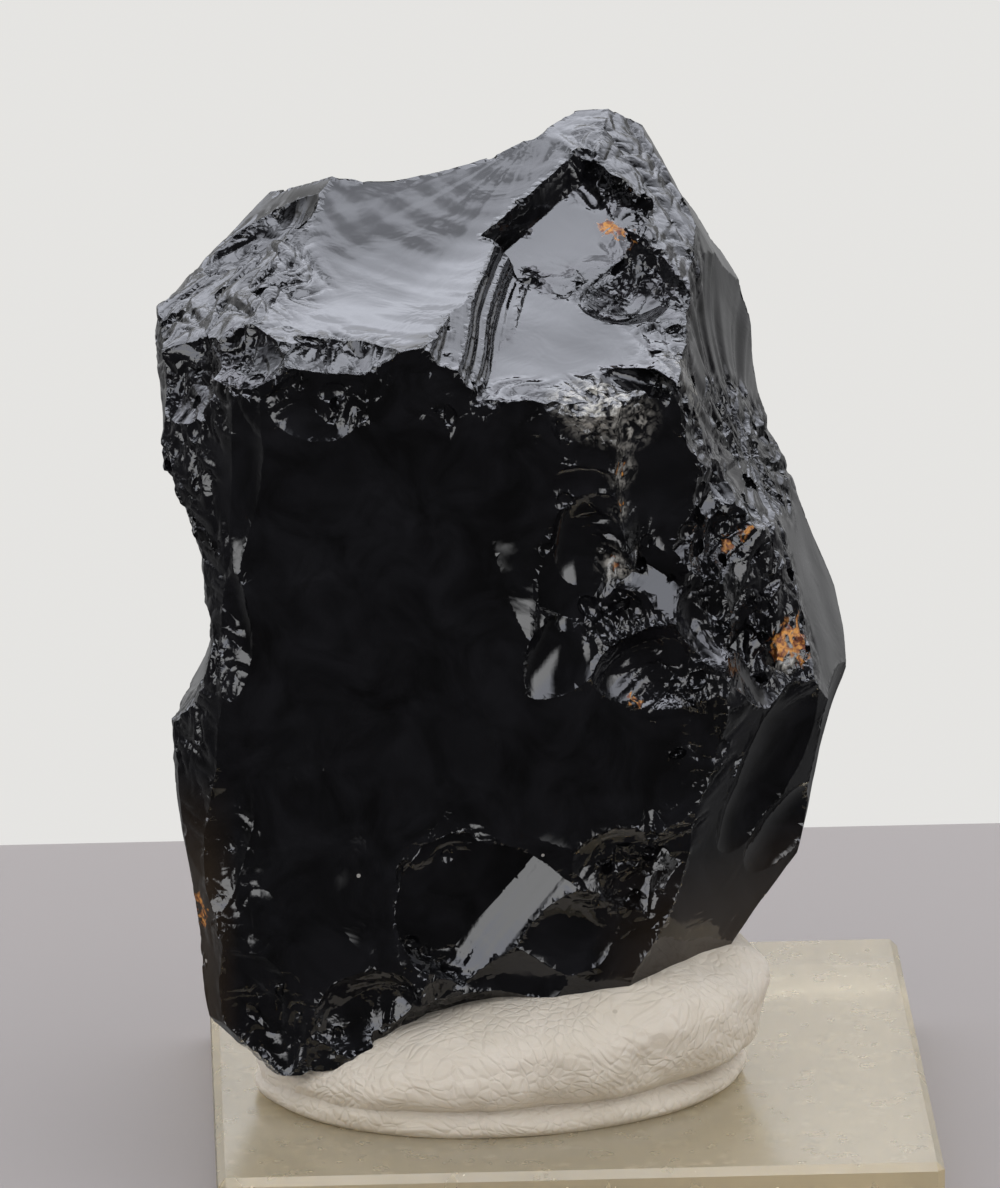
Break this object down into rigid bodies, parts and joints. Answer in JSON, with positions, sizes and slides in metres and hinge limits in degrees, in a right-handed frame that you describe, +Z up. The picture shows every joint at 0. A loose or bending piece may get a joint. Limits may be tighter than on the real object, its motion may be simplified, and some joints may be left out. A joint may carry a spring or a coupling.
{
  "type": "display crystal on stand",
  "caption": "Knapped chunk of glossy black volcanic glass, pressed into a pad of white putty on a square clear acrylic base.",
  "frame": {"origin": "centre of the acrylic base's underside, which stands on the table", "axes": "+Z up; -Y toward the stone's large flat front face; +X to the right seen from the front"},
  "size_m": [0.04, 0.038, 0.0547],
  "materials": {
    "crystal": "polished, conchoidal fracture, rust-brown stains in the cracks",
    "putty": "matt, kneaded, finely wrinkled",
    "acrylic": "clear, slightly yellowed, polished"
  },
  "bodies": {
    "root": {"crystal": "crystal", "putty": "putty", "acrylic_base": "acrylic"}
  },
  "joints": []
}
